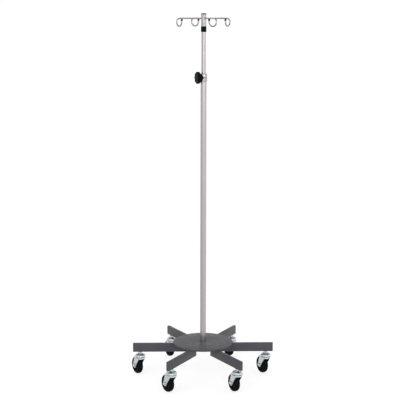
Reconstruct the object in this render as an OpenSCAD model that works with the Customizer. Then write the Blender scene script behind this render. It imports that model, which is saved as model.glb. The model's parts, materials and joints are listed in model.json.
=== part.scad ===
// Six-leg rolling IV stand: disc base on six bar legs with casters, telescoping pole
// with a lobed lock knob, and four pigtail hooks. Millimetres, +Z up.
// The origin is on the floor, on the pole's axis. Leg 1 points along +X.

/* [Base] */
// Distance from the pole's axis to a leg's outer end
leg_reach = 305; // [280:1:330]
// Distance from the pole's axis to a leg's inner end
leg_inner = 70; // [60:1:90]
// Width of the flat bar of a leg
leg_w = 12.7; // [12:0.1:16]
// Height of the flat bar of a leg
leg_h = 38.1; // [36:0.1:42]
// Diameter of the disc on top of the legs
disc_d = 260; // [220:1:300]
// Thickness of the disc
disc_t = 6; // [5:0.5:8]
// Side of the weld fillet between a leg and the disc
weld_size = 4; // [3:0.5:6]
// Depth of the round seat in the disc that the pole's foot stands in
seat_depth = 1.2; // [0.8:0.1:2]

/* [Casters] */
// Height from the floor to the underside of the legs
caster_h = 105.5; // [105:0.5:112]
// Diameter of a wheel
wheel_d = 75; // [70:1:76]
// Width of a wheel's tread
wheel_w = 24; // [20:1:25]
// Distance that a wheel trails behind its swivel axis
trail = 28; // [26:0.5:30]
// Distance from a leg's outer end to the swivel axis
stem_inset = 31; // [20:1:35]
// Balls in one swivel bearing
ball_count = 10; // [6:1:14]

/* [Pole] */
// Outer diameter of the lower tube
lower_d = 25.4; // [25:0.1:26]
// Wall of the lower tube
lower_wall = 1.5; // [1.3:0.1:1.6]
// Outer diameter of the upper tube
upper_d = 19.05; // [18.8:0.05:19.3]
// Wall of the upper tube
upper_wall = 1.2; // [1:0.1:1.6]
// Height of the upper tube's lower end above the floor
upper_bottom = 450; // [400:10:600]
// Height of the lock knob's axis above the floor
lock_z = 1294.5; // [1200:0.5:1350]
// Height of the lock collar
collar_h = 33; // [30:1:40]
// Outer diameter of the lock collar
collar_d = 31; // [30:0.5:34]

/* [Lock knob] */
// Diameter over the knob's lobes
knob_d = 50; // [46:1:56]
// Thickness of the knob's lobes
knob_t = 16; // [10:1:18]
// Number of lobes
knob_lobes = 8; // [6:1:9]
// Direction that the knob points, seen from above
knob_dir = 199; // [0:0.5:359]

/* [Hooks] */
// Height of the hook arms above the floor
hook_z = 1539; // [1500:1:1560]
// Height of the stand's top
top_z = 1560; // [1555:1:1600]
// Diameter of the hook rod
rod_d = 6; // [5:0.5:7]
// Distance from the pole's axis to the outermost rod centreline
hook_reach = 121.5; // [110:1:140]
// Drop from the arm to the start of the loop's lower half
hook_drop = 14.5; // [14:0.5:20]
// Centreline radius of the loop's lower half
loop_r = 17.5; // [12:0.5:18]
// Turn of the loop's plane out of the arm's plane
loop_twist = 31; // [0:1:40]
// Direction of the first hook arm, seen from above
hook_dir = 23.5; // [0:0.5:89]
// Length of a vinyl hook tip
tip_len = 11; // [8:1:14]

/* [Hidden] */
LEGS = 6;
HOOKS = 4;
// Way each caster trails at rest, leg 1 first
TRAIL_DIR = [115, 115, 112, 118, 122, 115];

leg_top = caster_h + leg_h;
disc_top = leg_top + disc_t;
stem_r_pos = leg_reach - stem_inset;

// Running clearance between a shaft and its bush, on the radius
run = 0.06;
// Gap between pieces of different bodies that don't bear on each other
gap = 0.4;

// Caster
axle_z = wheel_d / 2;
axle_r = 5;
bolt_r = 4;
tyre_t = 9;
hub_w = wheel_w + 1.4;
fork_in = hub_w / 2 + 0.5;
sheet = 2.5;
fork_out = fork_in + sheet;
crown_z = wheel_d + 4;
crown_t = 3;
crown_top = crown_z + crown_t;
crown_r = 23;
crown_lip = 3.5;
leg_tip_r = 11;
leg_front = -17;
leg_rear = 27;
stem_r = 5;
nut_h = 6.5;
nut_af = 17;
race_top = caster_h - nut_h;
race_r = 22.5;
race_bottom = crown_top + 1.2;
race_shoulder = crown_top + 8;
race_neck_r = 9.5;
ball_d = 5;
ball_ring_r = 15.5;
ball_z = crown_top + 0.3 + ball_d / 2;
stem_bottom = crown_z - 3;
stem_depth = 26;

// Pole
seat_z = disc_top - seat_depth;
lower_r = lower_d / 2;
lower_bore_r = lower_r - lower_wall;
upper_r = upper_d / 2;
collar_r = collar_d / 2;
collar_bottom = lock_z - collar_h / 2;
collar_top = lock_z + collar_h / 2;
collar_lip = 8;
lower_top = collar_top - collar_lip;
bush_bottom = lower_top - 36;
glide_len = 40;
glide_floor = 3.6;
plug_len = 28;
pole_bolt_r = 5;
washer_r = 13;
washer_t = 2;

// Lock
knob_r = knob_d / 2;
stud_r = 4;
boss_r = 15;
boss_end = 16.5;
knob_back = boss_end + 0.8;
knob_neck_r = 10;
lobe_r = 6.2;
pad_r = 3.9;
pad_start = upper_r + 0.35;
pad_len = 3.4;

// Head
cap_t = 4.5;
hub_top = top_z - cap_t;
hub_bottom = 1506;
hub_r = 10.9;
bumper_bottom = 1483.4;
bumper_r = 11.5;
upper_top = hub_top - 1;
tip_r = 4.3;
tip_wall_end = 3;

$fn = 96;

// ---- placing ----

// Leg i lies along +X before this turns it
module at_leg(i) {
    rotate([0, 0, (i - 1) * 360 / LEGS]) children();
}

// The swivel axis of caster i, with +X along its trail
module at_caster(i) {
    at_leg(i)
        translate([stem_r_pos, 0, 0])
            rotate([0, 0, TRAIL_DIR[i - 1] - (i - 1) * 360 / LEGS])
                children();
}

module at_hook(i) {
    translate([0, 0, hook_z])
        rotate([0, 0, hook_dir + (i - 1) * 360 / HOOKS])
            children();
}

// The wheel's axis becomes +Z, and Z = 0 is the wheel's middle
module at_axle(i) {
    at_caster(i)
        translate([trail, 0, axle_z])
            rotate([90, 0, 0])
                children();
}

// The knob's axis becomes +Z, which starts on the pole's axis
module at_knob() {
    translate([0, 0, lock_z])
        rotate([0, 90, knob_dir])
            children();
}

module ring(r_out, r_in, h) {
    difference() {
        cylinder(r = r_out, h = h);
        translate([0, 0, -1]) cylinder(r = r_in, h = h + 2);
    }
}

module hexagon(af, h) {
    cylinder(r = af / sqrt(3), h = h, $fn = 6);
}

// ---- base ----

module base_plate() {
    color("#6c6b71")
        translate([0, 0, leg_top])
            difference() {
                cylinder(d = disc_d, h = disc_t, $fn = 180);
                translate([0, 0, disc_t - seat_depth]) cylinder(r = lower_r + 0.05, h = disc_t);
                translate([0, 0, -1]) cylinder(r = pole_bolt_r + 0.3, h = disc_t + 2);
            }
}

module leg(i) {
    color("#58585e")
        at_leg(i)
            difference() {
                translate([leg_inner, -leg_w / 2, caster_h])
                    cube([leg_reach - leg_inner, leg_w, leg_h]);
                translate([stem_r_pos, 0, caster_h - 1])
                    cylinder(r = stem_r + 0.05, h = stem_depth + 2);
            }
}

module weld_fillets() {
    weld_end = disc_d / 2 - 4;
    color("#58585e")
        for (i = [1:LEGS], side = [-1, 1])
            at_leg(i)
                translate([leg_inner + 2, side * leg_w / 2, leg_top])
                    rotate([90, 0, 90])
                        linear_extrude(weld_end - leg_inner - 2)
                            polygon([[0, 0], [side * weld_size, 0], [0, -weld_size]]);
}

// ---- pole ----

module lower_tube() {
    color("#b9b3b6")
        difference() {
            translate([0, 0, seat_z]) ring(lower_r, lower_bore_r, lower_top - seat_z);
            at_knob() cylinder(r = stud_r + gap, h = lower_d);
        }
}

module pole_plug() {
    color("#8d8d90")
        translate([0, 0, seat_z])
            difference() {
                cylinder(r = lower_bore_r - 0.02, h = plug_len);
                translate([0, 0, -1]) cylinder(r = pole_bolt_r + 0.02, h = plug_len - 4);
            }
}

module pole_bolt() {
    head_h = 6.4;
    color("#8f9296")
        translate([0, 0, leg_top - washer_t - head_h]) {
            hexagon(17, head_h);
            cylinder(r = pole_bolt_r, h = head_h + washer_t + disc_t + plug_len - 8);
        }
}

module pole_washer() {
    color("#a5a8ac")
        translate([0, 0, leg_top - washer_t]) ring(washer_r, pole_bolt_r + 0.3, washer_t);
}

// A sleeve over the lower tube's end, with a waist groove and a lip that covers the end
module lock_collar() {
    edge = 2;
    groove = 1.2;
    half = collar_h / 2;
    color("#c9c5c8")
        difference() {
            translate([0, 0, lock_z])
                rotate_extrude()
                    polygon([
                        [upper_r + gap, half], [collar_r - edge, half], [collar_r, half - edge],
                        [collar_r, 2.2], [collar_r - groove, 0.8],
                        [collar_r - groove, -0.8], [collar_r, -2.2],
                        [collar_r, -half + edge], [collar_r - edge, -half],
                        [lower_r + 0.03, -half], [lower_r + 0.03, half - collar_lip],
                        [upper_r + gap, half - collar_lip]
                    ]);
            at_knob() cylinder(r = stud_r + gap, h = collar_d);
        }
}

module collar_bush() {
    color("#e6e4dc")
        difference() {
            translate([0, 0, bush_bottom])
                ring(lower_bore_r - 0.02, upper_r + run, lower_top - bush_bottom);
            at_knob() cylinder(r = stud_r + gap, h = lower_d);
        }
}

// ---- lock ----

module lock_boss() {
    color("#1b1b1d")
        difference() {
            at_knob() cylinder(r = boss_r, h = boss_end);
            cylinder(r = collar_r + 0.02, h = 2 * lock_z);
            at_knob() cylinder(r = stud_r + gap, h = boss_end + 1);
        }
}

module knob_outline() {
    circle(r = knob_r - 4);
    for (k = [0:knob_lobes - 1])
        rotate([0, 0, k * 360 / knob_lobes])
            translate([knob_r - lobe_r, 0])
                circle(r = lobe_r);
}

module lock_knob() {
    socket = 9;
    color("#17171a")
        at_knob()
            difference() {
                union() {
                    translate([0, 0, boss_end + gap]) cylinder(r = knob_neck_r, h = 4);
                    translate([0, 0, knob_back])
                        linear_extrude(knob_t)
                            knob_outline();
                }
                cylinder(r = stud_r + 0.02, h = knob_back + socket);
                translate([0, 0, knob_back + knob_t - 2]) cylinder(r = 12, h = 3);
            }
}

module knob_stud() {
    color("#a5a8ac")
        at_knob()
            translate([0, 0, pad_start + pad_len])
                cylinder(r = stud_r, h = knob_back + 9 - pad_start - pad_len);
}

module pressure_pad() {
    color("#d8c27a")
        difference() {
            at_knob()
                translate([0, 0, pad_start - 1]) cylinder(r = pad_r, h = pad_len + 1);
            cylinder(r = pad_start, h = 2 * lock_z);
        }
}

// ---- telescoping mast ----

module upper_tube() {
    color("#c4bec1")
        translate([0, 0, upper_bottom])
            ring(upper_r, upper_r - upper_wall, upper_top - upper_bottom);
}

// A cup on the upper tube's lower end that slides in the lower tube
module glide_bush() {
    color("#e6e4dc")
        difference() {
            translate([0, 0, upper_bottom - gap - glide_floor])
                cylinder(r = lower_bore_r - run, h = glide_len);
            translate([0, 0, upper_bottom - gap])
                cylinder(r = upper_r + run, h = glide_len);
            translate([0, 0, upper_bottom - 20])
                cylinder(r = 4, h = 30);
        }
}

module bumper_collar() {
    edge = 1.2;
    h = hub_bottom - bumper_bottom;
    color("#161619")
        translate([0, 0, bumper_bottom])
            rotate_extrude()
                polygon([
                    [upper_r + 0.02, 0], [bumper_r - edge, 0], [bumper_r, edge],
                    [bumper_r, h - edge], [bumper_r - edge, h], [upper_r + 0.02, h]
                ]);
}

module hook_hub() {
    color("#c9c3c6")
        difference() {
            translate([0, 0, hub_bottom]) ring(hub_r, upper_r + 0.02, hub_top - hub_bottom);
            for (i = [1:HOOKS])
                at_hook(i) rotate([0, 90, 0]) cylinder(r = rod_d / 2 + 0.02, h = hub_r + 1);
        }
}

module top_cap() {
    plug_r = upper_r - upper_wall - 0.05;
    color("#3a3436") {
        translate([0, 0, hub_top]) cylinder(r = hub_r + 0.2, h = cap_t);
        translate([0, 0, hub_top - 12]) cylinder(r = plug_r, h = 12.5);
    }
}

// A quarter turn down from the arm, then half a turn in a twisted plane, then up to the tip.
// A ball a hair fatter than the rod joins the two bends.
module hook(i) {
    rod_r = rod_d / 2;
    rod_start = upper_r + 0.1;
    bend_x = hook_reach - hook_drop;
    color("#bdb7ba")
        at_hook(i) {
            translate([rod_start, 0, 0])
                rotate([0, 90, 0])
                    cylinder(r = rod_r, h = bend_x - rod_start);
            translate([bend_x, 0, -hook_drop])
                rotate([90, 0, 0])
                    rotate_extrude(angle = 90)
                        translate([hook_drop, 0])
                            circle(r = rod_r, $fn = 32);
            translate([hook_reach, 0, -hook_drop]) sphere(r = rod_r + 0.03);
            at_loop() {
                rotate([90, 0, 0])
                    rotate_extrude(angle = -180)
                        translate([loop_r, 0])
                            circle(r = rod_r, $fn = 32);
                translate([-loop_r, 0, 0])
                    cylinder(r = rod_r, h = hook_drop - rod_r);
            }
        }
}

// The centre of a loop's lower half, in a hook's own frame
module at_loop() {
    translate([hook_reach, 0, -hook_drop])
        rotate([0, 0, loop_twist])
            translate([-loop_r, 0, 0])
                children();
}

module hook_tips() {
    rod_r = rod_d / 2;
    rod_top = hook_drop - rod_r;
    color("#141416")
        for (i = [1:HOOKS])
            at_hook(i)
                at_loop()
                    translate([-loop_r, 0, rod_top + tip_wall_end - tip_len])
                        difference() {
                            cylinder(r = tip_r, h = tip_len);
                            translate([0, 0, -1])
                                cylinder(r = rod_r, h = tip_len - tip_wall_end + 1);
                        }
}

// ---- casters ----

module caster_stems() {
    head_h = 2.6;
    color("#7c8086")
        for (i = [1:LEGS])
            at_caster(i) {
                translate([0, 0, stem_bottom])
                    cylinder(r = stem_r, h = caster_h + stem_depth - stem_bottom);
                translate([0, 0, stem_bottom]) cylinder(r = 8, h = head_h);
            }
}

module stem_nuts() {
    color("#6a6e74")
        for (i = [1:LEGS])
            at_caster(i)
                translate([0, 0, race_top])
                    difference() {
                        hexagon(nut_af, nut_h);
                        translate([0, 0, -1]) cylinder(r = stem_r, h = nut_h + 2);
                    }
}

module swivel_races() {
    shell = 2;
    ceiling = ball_z + ball_d / 2 + 0.25;
    dome_w = race_r - race_neck_r;
    dome_h = race_top - race_shoulder;
    color("#c7d0d6")
        for (i = [1:LEGS])
            at_caster(i)
                rotate_extrude()
                    polygon(concat(
                        [
                            [stem_r, race_bottom], [stem_r + 5, race_bottom],
                            [stem_r + 5, ceiling], [race_r - shell, ceiling],
                            [race_r - shell, race_bottom], [race_r, race_bottom]
                        ],
                        [for (a = [0:10:90])
                            [race_neck_r + dome_w * cos(a), race_shoulder + dome_h * sin(a)]],
                        [[stem_r, race_top]]
                    ));
}

module swivel_balls() {
    color("#dfe3e6")
        for (i = [1:LEGS])
            at_caster(i)
                for (k = [0:ball_count - 1])
                    rotate([0, 0, k * 360 / ball_count])
                        translate([ball_ring_r, 0, ball_z])
                            sphere(d = ball_d, $fn = 24);
}

// One side of the fork in the X-Z plane: as wide as the crown above, round at the axle
module fork_side() {
    front_a = 206;
    rear_a = 8;
    translate([trail, axle_z]) circle(r = leg_tip_r);
    polygon([
        [leg_front, crown_top], [leg_rear, crown_top],
        [trail + leg_tip_r * cos(rear_a), axle_z + leg_tip_r * sin(rear_a)],
        [trail + leg_tip_r * cos(front_a), axle_z + leg_tip_r * sin(front_a)],
        [trail - 22, crown_z - 28], [trail - 33, crown_z - 14],
        [leg_front, crown_z - crown_lip]
    ]);
}

// A round crown with a lip at the front, and a side plate on each side of the wheel
module fork(i) {
    color("#ccd6dc")
        at_caster(i)
            difference() {
                union() {
                    translate([0, 0, crown_z]) cylinder(r = crown_r, h = crown_t);
                    translate([leg_front, -fork_out, crown_z])
                        cube([leg_rear - leg_front, 2 * fork_out, crown_t]);
                    for (side = [-1, 1])
                        translate([0, side * (fork_in + sheet / 2) + sheet / 2, 0])
                            rotate([90, 0, 0])
                                linear_extrude(sheet)
                                    fork_side();
                    difference() {
                        translate([0, 0, crown_z - crown_lip])
                            ring(crown_r, crown_r - sheet, crown_lip + 1);
                        translate([leg_front + 1, -crown_r, crown_z - crown_lip - 1])
                            cube([2 * crown_r, 2 * crown_r, crown_lip + 3]);
                    }
                }
                translate([0, 0, crown_z - 1]) cylinder(r = stem_r + gap, h = crown_t + 2);
                translate([trail, 0, axle_z])
                    rotate([90, 0, 0])
                        cylinder(r = bolt_r + 0.05, h = 60, center = true);
            }
}

module axle(i) {
    head_h = 4;
    nut_len = 5;
    color("#b4bcc2")
        at_axle(i) {
            cylinder(r = axle_r, h = 2 * (fork_in - 0.05), center = true);
            translate([0, 0, -fork_out - nut_len])
                cylinder(r = bolt_r, h = 2 * fork_out + nut_len + 1);
            translate([0, 0, fork_out]) hexagon(13, head_h);
            translate([0, 0, -fork_out - nut_len]) hexagon(13, nut_len);
        }
}

// A crowned tread with rounded shoulders
module tyre(i) {
    r_out = wheel_d / 2;
    r_in = r_out - tyre_t;
    half = wheel_w / 2;
    shoulder = 8;
    color("#1c1c1e")
        at_axle(i)
            rotate_extrude($fn = 120)
                polygon(concat(
                    [[r_in, -half], [r_in, half]],
                    [for (a = [90:-15:0])
                        [r_out - shoulder + shoulder * cos(a), half - shoulder + shoulder * sin(a)]],
                    [for (a = [0:-15:-90])
                        [r_out - shoulder + shoulder * cos(a), -half + shoulder + shoulder * sin(a)]]
                ));
}

module wheel_hub(i) {
    r_out = wheel_d / 2 - tyre_t;
    half = hub_w / 2;
    rim = 3;
    web = 4;
    boss = axle_r + 4.5;
    color("#26272a")
        at_axle(i)
            rotate_extrude()
                polygon([
                    [axle_r + run, -half], [boss, -half], [boss + 1, -web],
                    [r_out - rim - 1, -web], [r_out - rim, -wheel_w / 2], [r_out, -wheel_w / 2],
                    [r_out, wheel_w / 2], [r_out - rim, wheel_w / 2], [r_out - rim - 1, web],
                    [boss + 1, web], [boss, half], [axle_r + run, half]
                ]);
}

// ---- the assembly ----

base_plate();
for (i = [1:LEGS])
    leg(i);
weld_fillets();
lower_tube();
pole_plug();
pole_bolt();
pole_washer();
lock_collar();
collar_bush();
lock_boss();
lock_knob();
knob_stud();
pressure_pad();
upper_tube();
glide_bush();
bumper_collar();
hook_hub();
top_cap();
for (i = [1:HOOKS])
    hook(i);
hook_tips();
caster_stems();
stem_nuts();
swivel_races();
swivel_balls();
for (i = [1:LEGS]) {
    fork(i);
    axle(i);
    tyre(i);
    wheel_hub(i);
}
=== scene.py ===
import json
import math

import bmesh
import bpy
import numpy as np
from mathutils import Matrix, Vector


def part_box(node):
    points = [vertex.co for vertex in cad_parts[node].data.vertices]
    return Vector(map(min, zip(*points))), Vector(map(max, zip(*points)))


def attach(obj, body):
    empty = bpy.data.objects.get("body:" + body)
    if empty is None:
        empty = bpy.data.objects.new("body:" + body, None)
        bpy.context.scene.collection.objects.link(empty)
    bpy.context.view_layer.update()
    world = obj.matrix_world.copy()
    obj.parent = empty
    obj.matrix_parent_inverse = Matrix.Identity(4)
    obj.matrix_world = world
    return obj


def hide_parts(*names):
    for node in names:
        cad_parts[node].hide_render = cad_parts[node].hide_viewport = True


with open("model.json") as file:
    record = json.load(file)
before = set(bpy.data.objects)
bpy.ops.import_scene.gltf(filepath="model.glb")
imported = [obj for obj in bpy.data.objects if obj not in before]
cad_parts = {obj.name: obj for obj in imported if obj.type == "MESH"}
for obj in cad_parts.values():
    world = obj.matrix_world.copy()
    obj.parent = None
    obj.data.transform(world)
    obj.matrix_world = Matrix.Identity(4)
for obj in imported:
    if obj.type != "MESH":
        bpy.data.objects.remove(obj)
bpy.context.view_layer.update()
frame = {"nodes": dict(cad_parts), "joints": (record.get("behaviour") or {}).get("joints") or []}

# Shapes are written in millimetres, and MM turns them into metres.
# Sizes that no CAD box gives are repeated from part.scad.
MM = 0.001
JOINTS = {joint["name"]: joint for joint in frame["joints"]}
LEGS = 6
HOOKS = 4

# Edges that turn by more degrees than this are shaded as sharp ones.
SHARP = 35
Z_TO_X = Matrix.Rotation(math.pi / 2, 4, "Y")
Z_TO_MINUS_Y = Matrix.Rotation(math.pi / 2, 4, "X")


# ---------------------------------------------------------------- shapes

def circle_points(count):
    return [2 * math.pi * k / count for k in range(count)]


def turn(rings, closed=False, segments=96):
    """A profile turned about Z. A ring is (radius, z), and its radius is a number or a
    function of the angle. A radius of 0 closes the shape in a point."""
    verts, loops, faces = [], [], []
    for radius, z in rings:
        start = len(verts)
        if radius == 0:
            verts.append((0, 0, z))
            loops.append([start] * segments)
            continue
        for angle in circle_points(segments):
            r = radius(angle) if callable(radius) else radius
            verts.append((r * math.cos(angle), r * math.sin(angle), z))
        loops.append(list(range(start, start + segments)))
    pairs = list(zip(loops, loops[1:]))
    if closed:
        pairs.append((loops[-1], loops[0]))
    for low, high in pairs:
        for k in range(segments):
            j = (k + 1) % segments
            face = list(dict.fromkeys([low[k], low[j], high[j], high[k]]))
            if len(face) > 2:
                faces.append(face)
    if not closed:
        for loop in (loops[0], loops[-1]):
            if loop[0] != loop[1]:
                faces.append(loop)
    return verts, faces


def rounded(points, radius, closed=True, steps=4):
    """The points of a line with its corners rounded. A point may hold its own radius."""
    result = []
    count = len(points)
    for k, point in enumerate(points):
        r = point[2] if len(point) > 2 else radius
        here = Vector(point[:2])
        if r == 0 or (not closed and k in (0, count - 1)):
            result.append(tuple(here))
            continue
        back = Vector(points[k - 1][:2]) - here
        on = Vector(points[(k + 1) % count][:2]) - here
        angle = back.angle(on)
        reach = min(r / math.tan(angle / 2), 0.49 * back.length, 0.49 * on.length)
        r = reach * math.tan(angle / 2)
        bisector = (back.normalized() + on.normalized()).normalized()
        middle = here + bisector * (r / math.sin(angle / 2))
        first = (here + back.normalized() * reach - middle).normalized()
        last = (here + on.normalized() * reach - middle).normalized()
        for step in range(steps + 1):
            result.append(tuple(middle + first.slerp(last, step / steps) * r))
    return result


def inset(outline, distance):
    """A closed outline, counter-clockwise, moved inward."""
    result = []
    count = len(outline)
    for k in range(count):
        here = Vector(outline[k])
        before = (here - Vector(outline[k - 1])).normalized()
        after = (Vector(outline[(k + 1) % count]) - here).normalized()
        normal = Vector((-before.y - after.y, before.x + after.x))
        normal /= max(normal.dot(Vector((-before.y, before.x))), 0.3)
        result.append(tuple(here + normal * distance))
    return result


def prism(outline, low, high, edge, steps=3):
    """A closed outline extruded along Z, with rounded rims."""
    levels = []
    for k in range(steps + 1):
        angle = math.pi / 2 * k / steps
        levels.append((edge * (1 - math.sin(angle)), low + edge * (1 - math.cos(angle))))
    levels += [(move, high + low - z) for move, z in reversed(levels)]
    verts, faces = [], []
    count = len(outline)
    for move, z in levels:
        verts += [(x, y, z) for x, y in inset(outline, move)]
    for level in range(len(levels) - 1):
        for k in range(count):
            a = level * count + k
            b = level * count + (k + 1) % count
            faces.append([a, b, b + count, a + count])
    faces.append(list(range(count)))
    faces.append(list(range(len(verts) - count, len(verts))))
    return verts, faces


def sweep(path, radius, segments):
    """A round rod along a path. radius is a function of the distance from the start."""
    points = [Vector(p) for p in path]
    tangents = []
    for k in range(len(points)):
        before = points[max(k - 1, 0)]
        after = points[min(k + 1, len(points) - 1)]
        tangents.append((after - before).normalized())
    side = tangents[0].orthogonal().normalized()
    verts, faces, travelled = [], [], 0.0
    for k, point in enumerate(points):
        if k:
            travelled += (point - points[k - 1]).length
            side = (side - tangents[k] * side.dot(tangents[k])).normalized()
        up = tangents[k].cross(side)
        r = radius(travelled)
        for angle in circle_points(segments):
            verts.append(tuple(point + (side * math.cos(angle) + up * math.sin(angle)) * r))
    for row in range(len(points) - 1):
        for k in range(segments):
            a = row * segments + k
            b = row * segments + (k + 1) % segments
            faces.append([a, b, b + segments, a + segments])
    faces.append(list(range(segments)))
    faces.append(list(range(len(verts) - segments, len(verts))))
    return verts, faces


def moved(shape, matrix):
    verts, faces = shape
    return [tuple(matrix @ Vector(v)) for v in verts], faces


def joined(shapes):
    verts, faces = [], []
    for more_verts, more_faces in shapes:
        start = len(verts)
        verts += more_verts
        faces += [[start + k for k in face] for face in more_faces]
    return verts, faces


def hexagon(flats, limit):
    """The radius of a hexagon whose corners are cut off at a radius."""
    def radius(angle):
        from_flat = (angle + math.pi / 6) % (math.pi / 3) - math.pi / 6
        return min(limit, flats / 2 / math.cos(from_flat))
    return radius


# ---------------------------------------------------------------- pieces

def new_mesh(name, shape, sharp=SHARP):
    mesh = bpy.data.meshes.new(name)
    verts, faces = shape
    mesh.from_pydata([[c * MM for c in v] for v in verts], [], faces)
    tidy = bmesh.new()
    tidy.from_mesh(mesh)
    bmesh.ops.remove_doubles(tidy, verts=tidy.verts, dist=1e-7)
    bmesh.ops.recalc_face_normals(tidy, faces=tidy.faces)
    tidy.to_mesh(mesh)
    tidy.free()
    smooth(mesh, sharp)
    return mesh


def smooth(mesh, sharp):
    mesh.shade_smooth()
    mesh.set_sharp_from_angle(angle=math.radians(sharp))


def new_object(name, mesh):
    obj = bpy.data.objects.new(name, mesh)
    bpy.context.scene.collection.objects.link(obj)
    return obj


def apply_modifiers(obj):
    graph = bpy.context.evaluated_depsgraph_get()
    mesh = bpy.data.meshes.new_from_object(obj.evaluated_get(graph))
    obj.modifiers.clear()
    obj.data = mesh
    smooth(mesh, SHARP)


def combine(obj, other_shape, operation):
    """Cuts a shape out of obj, or melts the two into one closed mesh."""
    other = new_object("cutter", new_mesh("cutter", other_shape))
    modifier = obj.modifiers.new("combine", "BOOLEAN")
    modifier.operation = operation
    modifier.solver = "EXACT"
    modifier.object = other
    apply_modifiers(obj)
    bpy.data.objects.remove(other)


def place(obj, matrix, body, slot, nodes):
    """Puts a piece into the frame: its place, body, finish and the CAD nodes it stands for."""
    obj.data.transform(matrix)
    obj.data.materials.clear()
    obj.data.materials.append(LOOKS[slot])
    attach(obj, body)
    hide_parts(*nodes)


def piece(name, shape, body, slot, nodes, matrix=Matrix.Identity(4), sharp=SHARP):
    place(new_object(name, new_mesh(name, shape, sharp)), matrix, body, slot, nodes)


def at(x=0, y=0, z=0, turned=0):
    """A place in millimetres, turned about Z by an angle in radians."""
    return Matrix.Translation((x * MM, y * MM, z * MM)) @ Matrix.Rotation(turned, 4, "Z")


def metres_to_mm(matrix):
    """The same place for a shape that is still in millimetres."""
    scaled = matrix.copy()
    scaled.translation = matrix.translation / MM
    return scaled


# ---------------------------------------------------------------- materials

class Look:
    """A material made of nodes round one Principled shader."""

    def __init__(self, name, colour, roughness, metallic=0.0, **sockets):
        self.material = bpy.data.materials.new(name)
        self.material.use_nodes = True
        self.tree = self.material.node_tree
        self.shader = self.tree.nodes["Principled BSDF"]
        self.shader.inputs["Base Color"].default_value = (*colour, 1)
        self.shader.inputs["Roughness"].default_value = roughness
        self.shader.inputs["Metallic"].default_value = metallic
        for socket, value in sockets.items():
            self.shader.inputs[socket.replace("_", " ")].default_value = value
        self.place = self.node("ShaderNodeTexCoord").outputs["Object"]
        self.height = None

    def node(self, kind, **settings):
        made = self.tree.nodes.new(kind)
        for key, value in settings.items():
            setattr(made, key, value)
        return made

    def link(self, source, target):
        self.tree.links.new(source, target)

    def noise(self, size_mm, detail=2.0, roughness=0.5):
        """Noise whose grain is size_mm along each axis, from about 0.3 to 0.7."""
        scaled = self.node("ShaderNodeMapping")
        scaled.inputs["Scale"].default_value = [1 / (s * MM) for s in size_mm]
        self.link(self.place, scaled.inputs["Vector"])
        noise = self.node("ShaderNodeTexNoise")
        noise.inputs["Scale"].default_value = 1.0
        noise.inputs["Detail"].default_value = detail
        noise.inputs["Roughness"].default_value = roughness
        self.link(scaled.outputs["Vector"], noise.inputs["Vector"])
        return noise.outputs["Fac"]

    def spread(self, value, low, high, from_low=0.3, from_high=0.7):
        """Stretches a value from one range to another."""
        ranged = self.node("ShaderNodeMapRange")
        ranged.inputs["From Min"].default_value = from_low
        ranged.inputs["From Max"].default_value = from_high
        ranged.inputs["To Min"].default_value = low
        ranged.inputs["To Max"].default_value = high
        self.link(value, ranged.inputs["Value"])
        return ranged.outputs["Result"]

    def mix(self, amount, first, second):
        """Mixes two colours. A colour is three numbers or a node's output."""
        mixed = self.node("ShaderNodeMix", data_type="RGBA")
        self.link(amount, mixed.inputs["Factor"])
        for colour, socket in ((first, mixed.inputs["A"]), (second, mixed.inputs["B"])):
            if isinstance(colour, tuple):
                socket.default_value = (*colour, 1)
            else:
                self.link(colour, socket)
        return mixed.outputs["Result"]

    def colour(self, source):
        self.link(source, self.shader.inputs["Base Color"])

    def rough(self, source):
        self.link(source, self.shader.inputs["Roughness"])

    def bump(self, source, depth_mm):
        """Adds relief of that depth. Calls add up."""
        made = self.node("ShaderNodeBump")
        made.inputs["Strength"].default_value = 1.0
        made.inputs["Distance"].default_value = depth_mm * MM
        self.link(source, made.inputs["Height"])
        if self.height is not None:
            self.link(self.height, made.inputs["Normal"])
        self.height = made.outputs["Normal"]
        self.link(self.height, self.shader.inputs["Normal"])


def powder_coat():
    """Dark grey coat: orange peel, a fine sparkle, and dull scuffs."""
    look = Look("powder_coat", (0.09, 0.088, 0.103), 0.4, Specular_IOR_Level=0.3)
    cloud = look.spread(look.noise((60, 60, 60), 3), 0, 1)
    grain = look.spread(look.noise((0.7, 0.7, 0.7), 2), 0, 1)
    base = look.mix(cloud, (0.094, 0.092, 0.110), (0.110, 0.108, 0.127))
    speckled = look.mix(look.spread(grain, 0, 0.25, 0.5, 1), base, (0.13, 0.128, 0.145))
    look.colour(speckled)
    look.rough(look.spread(look.noise((25, 25, 25), 4), 0.3, 0.44))
    look.bump(look.noise((2.4, 2.4, 2.4), 1), 0.09)
    look.bump(look.noise((0.6, 0.6, 0.6), 2), 0.02)
    return look.material


def brushed_steel():
    """Stainless tube, satin lines drawn along it."""
    look = Look("brushed_steel", (0.62, 0.575, 0.585), 0.27, 1.0, Anisotropic=0.35)
    lines = look.noise((0.35, 0.35, 60), 4, 0.6)
    cloud = look.noise((8, 8, 120), 2)
    tone = look.mix(look.spread(cloud, 0, 1), (0.585, 0.54, 0.55), (0.65, 0.605, 0.615))
    look.colour(look.mix(look.spread(lines, 0, 0.5), tone, (0.5, 0.465, 0.475)))
    look.rough(look.spread(lines, 0.2, 0.36))
    look.bump(lines, 0.012)
    return look.material


def polished_steel():
    """Bright stainless with hairline polishing marks."""
    look = Look("polished_steel", (0.53, 0.5, 0.51), 0.16, 1.0)
    marks = look.noise((6, 6, 0.25), 3, 0.6)
    cloud = look.spread(look.noise((5, 5, 5), 3), 0, 1)
    look.colour(look.mix(cloud, (0.47, 0.445, 0.455), (0.59, 0.56, 0.57)))
    look.rough(look.spread(marks, 0.1, 0.24))
    look.bump(marks, 0.004)
    return look.material


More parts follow.
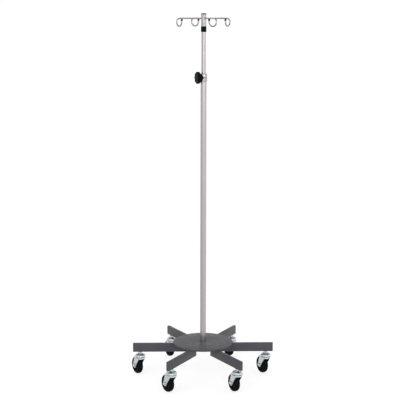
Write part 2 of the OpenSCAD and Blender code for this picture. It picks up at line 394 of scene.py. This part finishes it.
def zinc():
    """Bright zinc plate: bluish, lightly clouded."""
    look = Look("zinc", (0.74, 0.79, 0.82), 0.22, 1.0)
    cloud = look.spread(look.noise((4, 4, 4), 4, 0.6), 0, 1)
    look.colour(look.mix(cloud, (0.74, 0.83, 0.88), (0.90, 0.95, 0.97)))
    look.rough(look.spread(look.noise((2, 2, 2), 3), 0.14, 0.3))
    look.bump(look.noise((1.2, 1.2, 1.2), 2), 0.01)
    return look.material


def moulded(name, dark, light, roughness, grain_mm=0.5, depth_mm=0.02, shine=0.04):
    """Moulded plastic: a fine even grain and a faint cloud in its gloss."""
    look = Look(name, dark, roughness, Specular_IOR_Level=shine)
    look.colour(look.mix(look.spread(look.noise((9, 9, 9), 3), 0, 1), dark, light))
    look.rough(look.spread(look.noise((14, 14, 14), 3), roughness - 0.06, roughness + 0.08))
    look.bump(look.noise((grain_mm, grain_mm, grain_mm), 2), depth_mm)
    return look.material


def rubber():
    """Black rubber: dull, with faint dust and a fine moulded grain."""
    look = Look("rubber", (0.01, 0.01, 0.011), 0.62, Specular_IOR_Level=0.06)
    dust = look.spread(look.noise((7, 7, 7), 5, 0.65), 0, 0.5, 0.5, 0.75)
    look.colour(look.mix(dust, (0.006, 0.006, 0.007), (0.014, 0.0138, 0.0142)))
    look.rough(look.spread(look.noise((5, 5, 5), 3), 0.5, 0.72))
    look.bump(look.noise((0.5, 0.5, 0.5), 3), 0.04)
    return look.material


def brass():
    look = Look("brass", (0.78, 0.62, 0.3), 0.25, 1.0)
    lines = look.noise((3, 3, 0.2), 3)
    look.colour(look.mix(look.spread(lines, 0, 1), (0.74, 0.57, 0.26), (0.82, 0.67, 0.35)))
    look.rough(look.spread(lines, 0.2, 0.35))
    look.bump(lines, 0.01)
    return look.material


LOOKS = {
    "powder_coat": powder_coat(),
    "brushed_steel": brushed_steel(),
    "polished_steel": polished_steel(),
    "zinc": zinc(),
    "black_plastic": moulded("black_plastic", (0.006, 0.006, 0.012), (0.010, 0.010, 0.018), 0.36),
    "cap_plastic": moulded("cap_plastic", (0.030, 0.021, 0.023), (0.045, 0.031, 0.034), 0.42),
    "vinyl": moulded("vinyl", (0.010, 0.010, 0.011), (0.016, 0.016, 0.017), 0.24,
                     grain_mm=1.6, depth_mm=0.03, shine=0.4),
    "nylon": moulded("nylon", (0.76, 0.74, 0.67), (0.83, 0.81, 0.76), 0.4, shine=0.5),
    "brass": brass(),
    "rubber": rubber(),
    "wheel_plastic": moulded("wheel_plastic", (0.009, 0.009, 0.011), (0.015, 0.015, 0.017), 0.42),
}


# ---------------------------------------------------------------- base

plate_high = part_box("base_plate")[1]
leg_low, leg_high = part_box("leg_1")
DISC_R = plate_high.x / MM
DISC_TOP = plate_high.z / MM
LEG_TOP = leg_high.z / MM
LEG_BOTTOM = leg_low.z / MM
LEG_W = (leg_high.y - leg_low.y) / MM
BOLT_HOLE_R = 5.3


def base():
    disc = rounded(
        [(BOLT_HOLE_R, LEG_TOP, 0.3), (DISC_R, LEG_TOP, 1.2),
         (DISC_R, DISC_TOP, 1.6), (BOLT_HOLE_R, DISC_TOP, 0.3)],
        1, steps=5)
    piece("disc", turn(disc, closed=True, segments=192), "base", "powder_coat", ["base_plate"])
    for leg in range(LEGS):
        leg_bar(leg)
    weld_beads()
    pole_bolt()


def leg_bar(leg):
    """A flat bar with rolled edges, and the bore for its caster's stem."""
    half_w = LEG_W / 2
    half_h = (LEG_TOP - LEG_BOTTOM) / 2
    edge_r, end_r = 1.1, 0.7
    outline = rounded(
        [(-half_h, -half_w), (half_h, -half_w), (half_h, half_w), (-half_h, half_w)], edge_r)
    bar = prism(outline, leg_low.x / MM, leg_high.x / MM, end_r)
    lay_down = Matrix.Translation((0, 0, LEG_BOTTOM + half_h)) @ Z_TO_X
    name = f"leg_bar_{leg + 1}"
    obj = new_object(name, new_mesh(name, moved(bar, lay_down)))
    stem_x = JOINTS["caster_swivel_1"]["pos_m"][0] / MM
    bore_r, bore_top, point, below = 5.05, LEG_BOTTOM + 27, 2.5, LEG_BOTTOM - 1
    bore = turn([(bore_r, below), (bore_r, bore_top - point), (0, bore_top)], segments=48)
    combine(obj, moved(bore, Matrix.Translation((stem_x, 0, 0))), "DIFFERENCE")
    turned = at(turned=2 * math.pi * leg / LEGS)
    place(obj, turned, "base", "powder_coat", [f"leg_{leg + 1}"])


def weld_beads():
    """Convex beads with ripples, on both sides of every leg under the disc."""
    start, end = leg_low.x / MM + 2, DISC_R - 4
    step, ripple, size, sink = 0.65, 2.6, 3.5, 0.3
    rows = int((end - start) / step)
    verts, faces = [], []
    arc = [math.radians(a) for a in range(0, 91, 15)]
    for row in range(rows + 1):
        x = start + (end - start) * row / rows
        from_end = min(x - start, end - x)
        taper = math.sqrt(min(1, (from_end + 0.2) / 2.2))
        wave = 0.16 * math.sin(2 * math.pi * x / ripple)
        for a in arc:
            r = (size + wave * size * 0.35) * taper
            lag = 1.1 * math.sin(2 * a)
            verts.append((x + lag * 0.5, r * math.cos(a) - sink, -r * math.sin(a) + sink))
        verts.append((x, -0.5, 0.5))
    count = len(arc) + 1
    for row in range(rows):
        for k in range(count):
            a = row * count + k
            b = row * count + (k + 1) % count
            faces.append([a, b, b + count, a + count])
    faces.append(list(range(count)))
    faces.append(list(range(len(verts) - count, len(verts))))
    beads = []
    for leg in range(LEGS):
        for side in (-1, 1):
            mirror = Matrix.Diagonal((1, side, 1, 1))
            beside = Matrix.Translation((0, side * LEG_W / 2, LEG_TOP))
            turned = Matrix.Rotation(2 * math.pi * leg / LEGS, 4, "Z")
            beads.append(moved((verts, faces), turned @ beside @ mirror))
    piece("weld_beads", joined(beads), "base", "powder_coat", ["weld_fillets"], sharp=60)


def pole_bolt():
    low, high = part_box("pole_bolt")
    bottom, top = low.z / MM, high.z / MM
    flats, corner_r, head_h, shank_r = 17, 9.82, 6.4, 5
    rings = [
        (0, bottom + 0.3), (6.4, bottom + 0.3), (7, bottom), (hexagon(flats, 8.1), bottom),
        (hexagon(flats, 8.6), bottom + 0.25), (hexagon(flats, corner_r), bottom + 1.1),
        (hexagon(flats, corner_r), bottom + head_h - 0.5), (8.2, bottom + head_h - 0.4),
        (8.2, bottom + head_h), (shank_r, bottom + head_h), (shank_r, top - 1),
        (shank_r - 1, top), (0, top)]
    piece("pole_bolt_hex", turn(rings, segments=72), "base", "zinc", ["pole_bolt"])


# ---------------------------------------------------------------- casters

AXLE_Z = JOINTS["wheel_spin_1"]["pos_m"][2] / MM
CROWN_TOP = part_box("fork_1")[1].z / MM
RACE_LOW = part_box("swivel_races")[0].z / MM
RACE_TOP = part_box("swivel_races")[1].z / MM
TYRE_R = AXLE_Z
TRAIL = math.dist(
    JOINTS["wheel_spin_1"]["pos_m"][:2], JOINTS["caster_swivel_1"]["pos_m"][:2]) / MM
STEM_R = 5
FORK_IN = 13.2
SHEET = 2.5
TIP_R = 11
CROWN_R = 23
RIM_R = 28.5


def caster_place(caster):
    """The floor under a caster's swivel axis, with +X along its trail."""
    swivel = JOINTS[f"caster_swivel_{caster + 1}"]["pos_m"]
    axle = JOINTS[f"wheel_spin_{caster + 1}"]["pos_m"]
    turned = math.atan2(axle[1] - swivel[1], axle[0] - swivel[0])
    return at(swivel[0] / MM, swivel[1] / MM, 0, turned)


def axle_place(caster):
    """The wheel's middle, with +Z along its axle."""
    on_axle = at(TRAIL, 0, AXLE_Z) @ Z_TO_MINUS_Y
    return caster_place(caster) @ on_axle


def bezier(points, count):
    """Points of a cubic curve."""
    a, b, c, d = [np.array(p, float) for p in points]
    t = np.linspace(0, 1, count)[:, None]
    return (1 - t) ** 3 * a + 3 * (1 - t) ** 2 * t * b + 3 * (1 - t) * t ** 2 * c + t ** 3 * d


def fork_strap():
    """The middle surface of a strap bent over the wheel, with flared edges and round ends."""
    bend_r = 2.6
    side_y = FORK_IN + SHEET / 2
    crown_mid = CROWN_TOP - SHEET / 2 - 0.1
    side_top = crown_mid - bend_r
    front_start, rear_start = 32.7, 39
    front = bezier([(-16.5, side_top), (-10, 68), (4, 56), (18.1, front_start)], 60)[::-1]
    rear = bezier([(26.5, side_top), (29, 66), (36.5, 52), (38.9, rear_start)], 60)[::-1]

    def width(z):
        """The front and rear edge of a side at height z."""
        chord = math.sqrt(max(TIP_R ** 2 - (z - AXLE_Z) ** 2, 0.0))
        x_front, x_rear = TRAIL - chord, TRAIL + chord
        if z > front_start:
            x_front = float(np.interp(z, front[:, 1], front[:, 0]))
        if z > rear_start:
            x_rear = float(np.interp(z, rear[:, 1], rear[:, 0]))
        return x_front, x_rear

    def flare(x, z, x_front, x_rear):
        """How far a side's edge curls outward."""
        to_edge = min(x - x_front, x_rear - x)
        if z < AXLE_Z:
            to_edge = TIP_R - math.hypot(x - TRAIL, z - AXLE_Z)
        curl, band = 1.1, 2.4
        return curl * max(0.0, 1 - to_edge / band) ** 2

    tip_rows, side_rows, bend_rows, crown_rows, columns = 12, 22, 6, 3, 17
    rows = []
    for k in range(tip_rows + 1):
        z = AXLE_Z - TIP_R * math.cos(math.pi / 2 * k / tip_rows)
        rows.append((side_y, z, 0.0))
    for z in np.linspace(AXLE_Z, side_top, side_rows)[1:]:
        rows.append((side_y, float(z), 0.0))
    for k in range(1, bend_rows + 1):
        angle = math.pi / 2 * k / bend_rows
        y = side_y - bend_r * (1 - math.cos(angle))
        rows.append((y, side_top + bend_r * math.sin(angle), angle))
    flat_y = side_y - bend_r
    for k in range(1, crown_rows + 1):
        rows.append((flat_y * (1 - k / crown_rows), crown_mid, math.pi / 2))
    verts, faces = [], []
    for mirror, part in ((1, rows), (-1, rows[-2::-1])):
        for y, z, angle in part:
            x_front, x_rear = width(min(z, side_top))
            for k in range(columns):
                across = 0.5 - 0.5 * math.cos(math.pi * k / (columns - 1))
                x = x_front + (x_rear - x_front) * across
                out = flare(x, z, x_front, x_rear) * math.cos(angle)
                verts.append((x, mirror * (y + out), z))
    for row in range(len(verts) // columns - 1):
        for k in range(columns - 1):
            a = row * columns + k
            faces.append([a, a + 1, a + 1 + columns, a + columns])
    return verts, faces


def fork_mesh():
    """Pressed steel: the strap made thick and melted into a dished crown, with the axle's hole."""
    obj = new_object("fork_strap", new_mesh("fork_strap", fork_strap()))
    sheet = obj.modifiers.new("sheet", "SOLIDIFY")
    sheet.thickness = SHEET * MM
    sheet.offset = 0
    edges = obj.modifiers.new("edges", "BEVEL")
    edges.width = 0.5 * MM
    edges.segments = 2
    edges.limit_method = "ANGLE"
    edges.angle_limit = math.radians(50)
    apply_modifiers(obj)
    low = CROWN_TOP - 3
    crown = rounded(
        [(STEM_R + 0.4, low, 0.2), (CROWN_R, low, 0.8), (CROWN_R, CROWN_TOP - 0.4, 1.4),
         (19.5, CROWN_TOP, 1), (17.5, CROWN_TOP - 0.9, 1), (13.5, CROWN_TOP - 0.9, 1),
         (11.5, CROWN_TOP, 1), (STEM_R + 0.4, CROWN_TOP, 0.2)],
        0.5, steps=3)
    combine(obj, turn(crown, closed=True), "UNION")
    combine(obj, front_lip(low), "UNION")
    hole_r, half = 4.05, 20
    hole = turn([(hole_r, -half), (hole_r, half)], segments=32)
    across = Matrix.Translation((TRAIL, 0, AXLE_Z)) @ Z_TO_MINUS_Y
    combine(obj, moved(hole, across), "DIFFERENCE")
    mesh = obj.data
    bpy.data.objects.remove(obj)
    return mesh


def front_lip(top):
    """The part of the crown's edge that is turned down in front of the wheel."""
    drop, thick, half_angle, steps = 3.4, 2.3, math.radians(40), 24
    high, low, inner_r = top + 1, top - drop, CROWN_R - thick
    section = [(CROWN_R, high), (CROWN_R, low), (inner_r, low), (inner_r, high)]
    verts, faces = [], []
    for k in range(steps + 1):
        angle = math.pi - half_angle + 2 * half_angle * k / steps
        for r, z in section:
            verts.append((r * math.cos(angle), r * math.sin(angle), z))
    for row in range(steps):
        for k in range(4):
            a, b = row * 4 + k, row * 4 + (k + 1) % 4
            faces.append([a, b, b + 4, a + 4])
    faces += [[0, 1, 2, 3], [4 * steps + k for k in range(4)]]
    return verts, faces


def axle_shape():
    """Bolt with a chamfered hex head, and a lock nut with its collar."""
    flats, corner_r, shank_r, sleeve_r = 13, 7.51, 4, 5
    face = FORK_IN + SHEET + 0.15
    sleeve = FORK_IN - 0.05
    rings = [
        (0, face + 3.7), (5.2, face + 3.7), (5.6, face + 4), (hexagon(flats, 6.2), face + 4),
        (hexagon(flats, 6.7), face + 3.75), (hexagon(flats, corner_r), face + 3),
        (hexagon(flats, corner_r), face + 0.5), (6.2, face + 0.4), (6.2, face), (shank_r, face),
        (shank_r, sleeve), (sleeve_r, sleeve), (sleeve_r, -sleeve), (shank_r, -sleeve),
        (shank_r, -face), (6.2, -face), (6.2, -face - 0.3), (hexagon(flats, 6.8), -face - 0.4),
        (hexagon(flats, corner_r), -face - 1), (hexagon(flats, corner_r), -face - 3.4),
        (hexagon(flats, 6.6), -face - 3.9), (5.9, -face - 4), (5.6, -face - 4.7), (5.2, -face - 5),
        (4.2, -face - 5), (4, -face - 4.4), (3.8, -face - 4.4), (3.4, -face - 5), (0, -face - 5)]
    return turn(rings, segments=72)


def tyre_shape():
    """A crowned tread, round shoulders, a moulded line and a step on each side wall."""
    half, inner = 12, RIM_R
    side = [
        (inner, 0), (inner, half - 0.4), (inner + 1.2, half - 0.4), (inner + 1.6, half - 1.2),
        (inner + 2.2, half - 1.0), (inner + 2.8, half - 0.2), (TYRE_R - 5.6, half - 0.5),
        (TYRE_R - 3, half - 2.1), (TYRE_R - 1.2, half - 4.6), (TYRE_R - 0.35, half - 7.4),
        (TYRE_R - 0.12, 0.5), (TYRE_R, 0.15)]
    whole = side[1:] + [(r, -z) for r, z in reversed(side[1:])]
    return turn(rounded(whole, 0.5, steps=3), closed=True, segments=120)


def wheel_centre_shape():
    """Dished web between a rim and a bearing boss, with fillets and a seated bearing cap."""
    bore, boss, rim, face = 5.06, 9.5, RIM_R, 12.7
    side = [
        (bore, 0, 0), (bore, face - 1, 0.2), (6.6, face - 1, 0.2), (6.9, face, 0.3),
        (boss, face, 0.8), (boss + 1.2, 4.6, 2.2), (rim - 4, 4.0, 2.2), (rim - 3, 11.8, 0.7),
        (rim, 11.8, 0.3), (rim, 0, 0)]
    whole = side[1:-1] + [(r, -z, corner) for r, z, corner in reversed(side[1:-1])]
    return turn(rounded(whole, 0.5, steps=4), closed=True)


def stem_nuts():
    """Hex nuts with both faces chamfered."""
    flats, corner_r, height = 17, 9.82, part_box("stem_nuts")[1].z / MM - RACE_TOP
    low, high = RACE_TOP, RACE_TOP + height
    rings = [
        (STEM_R, low), (hexagon(flats, 8.2), low), (hexagon(flats, 8.8), low + 0.2),
        (hexagon(flats, corner_r), low + 1), (hexagon(flats, corner_r), high - 1),
        (hexagon(flats, 8.8), high - 0.2), (hexagon(flats, 8.2), high), (STEM_R, high)]
    nut = turn(rings, closed=True, segments=72)
    return [moved(nut, metres_to_mm(caster_place(caster))) for caster in range(LEGS)]


def swivel_races():
    """Pressed cups over the balls: a neck, a raceway bulge and a rolled rim."""
    profile = rounded(
        [(STEM_R, RACE_LOW, 0.2), (10, RACE_LOW, 0.4), (10, RACE_LOW + 4.35, 0.5),
         (20.5, RACE_LOW + 4.35, 1.5), (20.6, RACE_LOW, 0.4), (22.5, RACE_LOW, 0.7),
         (22.5, RACE_LOW + 8.2, 3.5), (19.2, RACE_TOP - 4.6, 3), (15, RACE_TOP - 2.6, 3),
         (12.6, RACE_TOP - 3.4, 2), (10.4, RACE_TOP - 0.6, 1), (9.4, RACE_TOP, 0.6),
         (STEM_R, RACE_TOP, 0.2)],
        1, steps=5)
    cup = turn(profile, closed=True)
    return [moved(cup, metres_to_mm(caster_place(caster))) for caster in range(LEGS)]


def casters():
    fork = fork_mesh()
    axle = new_mesh("axle_bolt", axle_shape())
    tyre = new_mesh("tread", tyre_shape(), sharp=50)
    centre = new_mesh("wheel_centre", wheel_centre_shape(), sharp=50)
    for caster in range(LEGS):
        n = caster + 1
        here, on_axle = caster_place(caster), axle_place(caster)
        for name, mesh, where, body, slot, node in (
                ("fork_pressed", fork, here, "caster", "zinc", "fork"),
                ("axle_bolt", axle, on_axle, "caster", "zinc", "axle"),
                ("tread", tyre, on_axle, "wheel", "rubber", "tyre"),
                ("wheel_centre", centre, on_axle, "wheel", "wheel_plastic", "wheel_hub")):
            obj = new_object(f"{name}_{n}", mesh.copy())
            place(obj, where, f"{body}_{n}", slot, [f"{node}_{n}"])
    piece("stem_nuts_hex", joined(stem_nuts()), "base", "zinc", ["stem_nuts"])
    piece("swivel_cups", joined(swivel_races()), "base", "zinc", ["swivel_races"])


# ---------------------------------------------------------------- lock

LOWER_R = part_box("lower_tube")[1].x / MM
UPPER_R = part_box("upper_tube")[1].x / MM
collar_low, collar_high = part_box("lock_collar")
COLLAR_R = collar_high.x / MM
LOCK_Z = JOINTS["lock_knob_turn"]["pos_m"][2] / MM
knob_axis = JOINTS["lock_knob_turn"]["axis"]
KNOB_TURN = math.atan2(knob_axis[1], knob_axis[0])
BOSS_END = 16.5
KNOB_BACK = 17.3
KNOB_T = 16
KNOB_R = 25
LOBES = 8


def knob_place():
    """The point on the pole's axis that the knob points away from, with +Z along the knob."""
    return at(0, 0, LOCK_Z, KNOB_TURN) @ Z_TO_X


def lock():
    """A collar with a waist groove and a bore for the stud, a boss saddled on it, and the knob."""
    low, high = collar_low.z / MM, collar_high.z / MM
    gap, lip, groove, groove_half, segments = 0.4, 8, 1.2, 2.6, 128
    seat_r, throat_r = LOWER_R + 0.03, UPPER_R + gap
    profile = rounded(
        [(seat_r, low, 0.3), (COLLAR_R, low, 2.4), (COLLAR_R, LOCK_Z - groove_half, 0.8),
         (COLLAR_R - groove, LOCK_Z, 1.6), (COLLAR_R, LOCK_Z + groove_half, 0.8),
         (COLLAR_R, high, 2.4), (throat_r, high, 0.5), (throat_r, high - lip, 0),
         (seat_r, high - lip, 0)],
        1, steps=5)
    turned = turn(profile, closed=True, segments=segments)
    collar = new_object("collar_turned", new_mesh("collar_turned", turned))
    hole_r, hole_start, hole_end = 4.4, 2, COLLAR_R + 4
    stud_hole = turn([(hole_r, hole_start), (hole_r, hole_end)], segments=48)
    combine(collar, moved(stud_hole, metres_to_mm(knob_place())), "DIFFERENCE")
    place(collar, Matrix.Identity(4), "base", "polished_steel", ["lock_collar"])
    boss_r, boss_start = 15, 0.5
    profile = rounded(
        [(hole_r, boss_start, 0), (boss_r, boss_start, 0),
         (boss_r, BOSS_END, 2), (hole_r, BOSS_END, 0.4)],
        1, steps=5)
    boss = new_object("knob_boss", new_mesh("knob_boss", turn(profile, closed=True)))
    space_r, half = COLLAR_R + 0.02, 40
    collar_space = turn([(space_r, -half), (space_r, half)], segments=segments)
    combine(boss, moved(collar_space, Z_TO_X), "DIFFERENCE")
    place(boss, knob_place(), "base", "black_plastic", ["lock_boss"])
    piece("knob_lobed", knob_shape(), "knob", "black_plastic", ["lock_knob"],
          knob_place(), sharp=50)


def lobed(inward):
    """The radius of the knob's edge, moved inward."""
    valley_depth, sharpness = 4.2, 1.3

    def radius(angle):
        valley = math.sin(LOBES / 2 * angle) ** 2
        return KNOB_R - inward - valley_depth * valley ** sharpness
    return radius


def knob_shape():
    back, front, edge, steps = KNOB_BACK + 0.2, KNOB_BACK + KNOB_T, 3.2, 6
    socket_r, socket_end, neck_r, neck_start = 4.02, KNOB_BACK + 9, 10, BOSS_END + 0.4
    rings = [
        (0, socket_end + 1), (socket_r, socket_end), (socket_r, neck_start),
        (neck_r - 0.6, neck_start), (neck_r, neck_start + 0.5), (neck_r, KNOB_BACK - 0.2),
        (neck_r + 0.8, back)]
    for k in range(steps + 1):
        angle = math.pi / 2 * k / steps
        rings.append((lobed(edge * (1 - math.sin(angle))), back + edge * (1 - math.cos(angle))))
    for k in range(steps + 1):
        angle = math.pi / 2 * k / steps
        rings.append((lobed(edge * (1 - math.cos(angle))), front - edge * (1 - math.sin(angle))))
    rings += [
        (15.5, front - 0.05), (12.6, front - 0.1), (12.2, front - 0.4), (12.0, front - 1.6),
        (11.5, front - 1.8), (11.2, front - 1.7), (10.8, front - 1.0), (9.5, front - 0.55),
        (6, front - 0.3), (0, front - 0.2)]
    return turn(rings, segments=192)


# ---------------------------------------------------------------- head

HOOK_Z = 1539
HOOK_DIR = math.radians(23.5)
HOOK_REACH = 121.5
HOOK_DROP = 14.5
LOOP_R = 17.5
LOOP_TWIST = math.radians(31)
ROD_R = 3
HUB_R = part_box("hook_hub")[1].x / MM


def hook_place(hook):
    return at(0, 0, HOOK_Z, HOOK_DIR + 2 * math.pi * hook / HOOKS)


def hook_path():
    """Arm, quarter turn down, half a turn in the twisted plane, then up into the tip."""
    bend_x = HOOK_REACH - HOOK_DROP
    weld_end = HUB_R + 8
    bend_steps, loop_steps = 12, 24
    path = [(x, 0, 0) for x in np.linspace(UPPER_R + 0.1, weld_end, 16)]
    path += [(x, 0, 0) for x in np.linspace(weld_end, bend_x, 20)[1:]]
    for k in range(1, bend_steps + 1):
        angle = math.pi / 2 * k / bend_steps
        path.append((bend_x + HOOK_DROP * math.sin(angle), 0, -HOOK_DROP * (1 - math.cos(angle))))

    def looped(along, z):
        return (HOOK_REACH + (along - LOOP_R) * math.cos(LOOP_TWIST),
                (along - LOOP_R) * math.sin(LOOP_TWIST), z - HOOK_DROP)

    for k in range(1, loop_steps + 1):
        angle = math.pi * k / loop_steps
        path.append(looped(LOOP_R * math.cos(angle), -LOOP_R * math.sin(angle)))
    for z in np.linspace(0, HOOK_DROP - ROD_R, 8)[1:]:
        path.append(looped(-LOOP_R, float(z)))
    return path


def hook_tip(path):
    """A dipped vinyl cap: a soft lip, a long body and a round end."""
    length, tip_r, cover = 11, 4.3, 3
    end = Vector(path[-1])
    bottom = end.z + cover - length
    profile = rounded(
        [(ROD_R + 0.02, bottom + 0.4, 0.1), (tip_r - 0.5, bottom, 0.4), (tip_r, bottom + 1.2, 0.6),
         (tip_r - 0.25, bottom + 2.6, 0.8), (tip_r, bottom + 6, 2), (tip_r, bottom + length, 3.6),
         (0, bottom + length)],
        0.5, closed=False, steps=6)
    inside = [(0, end.z - 0.05), (ROD_R + 0.02, end.z - 0.05)]
    return moved(turn(inside + profile, segments=48), Matrix.Translation((end.x, end.y, 0)))


def head():
    hub_low, hub_high = [corner.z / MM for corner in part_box("hook_hub")]
    bumper_low, bumper_high = [corner.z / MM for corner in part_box("bumper_collar")]
    bumper_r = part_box("bumper_collar")[1].x / MM
    cap_r, cap_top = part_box("top_cap")[1].x / MM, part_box("top_cap")[1].z / MM
    on_tube = UPPER_R + 0.02
    bumper = rounded(
        [(on_tube, bumper_low, 0.3), (bumper_r, bumper_low, 1.8),
         (bumper_r, bumper_high, 1.8), (on_tube, bumper_high, 0.3)],
        1, steps=6)
    piece("bumper", turn(bumper, closed=True), "mast", "black_plastic", ["bumper_collar"])
    hub = rounded(
        [(on_tube, hub_low, 0.3), (HUB_R, hub_low, 0.9),
         (HUB_R, hub_high, 0.9), (on_tube, hub_high, 0.3)],
        1, steps=4)
    piece("hub_sleeve", turn(hub, closed=True, segments=128), "mast", "brushed_steel", ["hook_hub"])
    plug_r = UPPER_R - 1.25
    cap = rounded(
        [(0, hub_high - 12), (plug_r, hub_high - 12, 1), (plug_r, hub_high - 0.02, 0),
         (cap_r, hub_high - 0.02, 0.3), (cap_r, cap_top - 0.6, 1.8), (0, cap_top)],
        0.5, closed=False, steps=6)
    piece("cap", turn(cap), "mast", "cap_plastic", ["top_cap"])
    path = hook_path()

    def rod_radius(travelled):
        """The weld at the hub widens the rod's first few millimetres."""
        weld_rise, weld_fade = 1.2, 1.3
        outside = travelled - (HUB_R - UPPER_R - 0.1)
        return ROD_R + weld_rise * math.exp(-(max(outside, 0) / weld_fade) ** 2)

    rod = new_mesh("hook_rod", sweep(path, rod_radius, 32))
    for hook in range(HOOKS):
        obj = new_object(f"hook_rod_{hook + 1}", rod.copy())
        place(obj, hook_place(hook), "mast", "polished_steel", [f"hook_{hook + 1}"])
    tips = [moved(hook_tip(path), metres_to_mm(hook_place(hook))) for hook in range(HOOKS)]
    piece("vinyl_tips", joined(tips), "mast", "vinyl", ["hook_tips"])


# ---------------------------------------------------------------- stage

def pale_floor():
    """A floor that glows for the camera only, so that it adds no light to the stand."""
    floor = new_object("floor", bpy.data.meshes.new("floor"))
    far = 120
    corners = [(-far, -far, 0), (far, -far, 0), (far, far, 0), (-far, far, 0)]
    floor.data.from_pydata(corners, [], [(0, 1, 2, 3)])
    look = Look("floor", (0.5, 0.5, 0.5), 0.9, Emission_Color=(1, 1, 1, 1), Emission_Strength=0.78)
    floor.data.materials.append(look.material)
    floor.visible_glossy = False
    floor.visible_diffuse = False


def studio_world():
    """Soft light all round, by height, and a little weaker from the left."""
    world = bpy.data.worlds.new("studio")
    world.use_nodes = True
    bpy.context.scene.world = world
    nodes, links = world.node_tree.nodes, world.node_tree.links
    direction = nodes.new("ShaderNodeTexCoord")
    split = nodes.new("ShaderNodeSeparateXYZ")
    ramp = nodes.new("ShaderNodeValToRGB")
    to_ramp = nodes.new("ShaderNodeMapRange")
    to_ramp.inputs["From Min"].default_value = -1
    to_ramp.inputs["From Max"].default_value = 1
    links.new(direction.outputs["Generated"], split.inputs["Vector"])
    links.new(split.outputs["Z"], to_ramp.inputs["Value"])
    links.new(to_ramp.outputs["Result"], ramp.inputs["Fac"])
    dark_side = nodes.new("ShaderNodeMapRange")
    dark_side.inputs["From Min"].default_value = -1
    dark_side.inputs["From Max"].default_value = -0.35
    dark_side.inputs["To Min"].default_value = 0.75
    links.new(split.outputs["X"], dark_side.inputs["Value"])
    shaded = nodes.new("ShaderNodeVectorMath")
    shaded.operation = "SCALE"
    links.new(ramp.outputs["Color"], shaded.inputs["Vector"])
    links.new(dark_side.outputs["Result"], shaded.inputs["Scale"])
    links.new(shaded.outputs["Vector"], nodes["Background"].inputs["Color"])
    stops = [(-1, 0.42), (-0.55, 0.46), (-0.32, 0.8), (-0.17, 0.84),
             (-0.03, 1.04), (0.35, 0.74), (1, 0.14)]
    brightest = max(value for _, value in stops)
    while len(ramp.color_ramp.elements) < len(stops):
        ramp.color_ramp.elements.new(0.5)
    for element, (height, value) in zip(ramp.color_ramp.elements, stops):
        element.position = (height + 1) / 2
        element.color = (value / brightest,) * 3 + (1,)
    nodes["Background"].inputs["Strength"].default_value = brightest


def stage():
    pale_floor()
    studio_world()
    soft_light("key", (-2.2, -3.0, 3.6), 2.2, 24)
    soft_light("stripe", (1.0, -4.4, 1.5), 1.1, 14)
    bpy.context.scene.view_settings.view_transform = "Standard"


def soft_light(name, position, size, watts):
    light = bpy.data.lights.new(name, "AREA")
    light.size = size
    light.energy = watts
    obj = bpy.data.objects.new(name, light)
    bpy.context.scene.collection.objects.link(obj)
    obj.location = position
    obj.rotation_mode = "QUATERNION"
    target = Vector((0, 0, 0.6))
    obj.rotation_quaternion = (target - Vector(position)).to_track_quat("-Z", "Y")


def camera():
    """Far off and a little above the hooks, tilted down at the stand's middle."""
    data = bpy.data.cameras.new("camera")
    data.sensor_width = 36
    data.lens = 96.2
    obj = bpy.data.objects.new("camera", data)
    bpy.context.scene.collection.objects.link(obj)
    obj.location = (-0.1143, -4.4865, 1.559)
    tilt, roll, pan = math.radians(80.1), math.radians(0.1), math.radians(-1.28)
    obj.rotation_mode = "QUATERNION"
    aimed = Matrix.Rotation(pan, 3, "Z") @ Matrix.Rotation(tilt, 3, "X")
    obj.rotation_quaternion = (aimed @ Matrix.Rotation(roll, 3, "Z")).to_quaternion()
    bpy.context.scene.camera = obj


camera()
stage()
for node in frame["nodes"].values():
    for material_slot in node.material_slots:
        material_slot.material = LOOKS[material_slot.material.name.split(".")[0]]
base()
casters()
lock()
head()

bpy.context.view_layer.update()
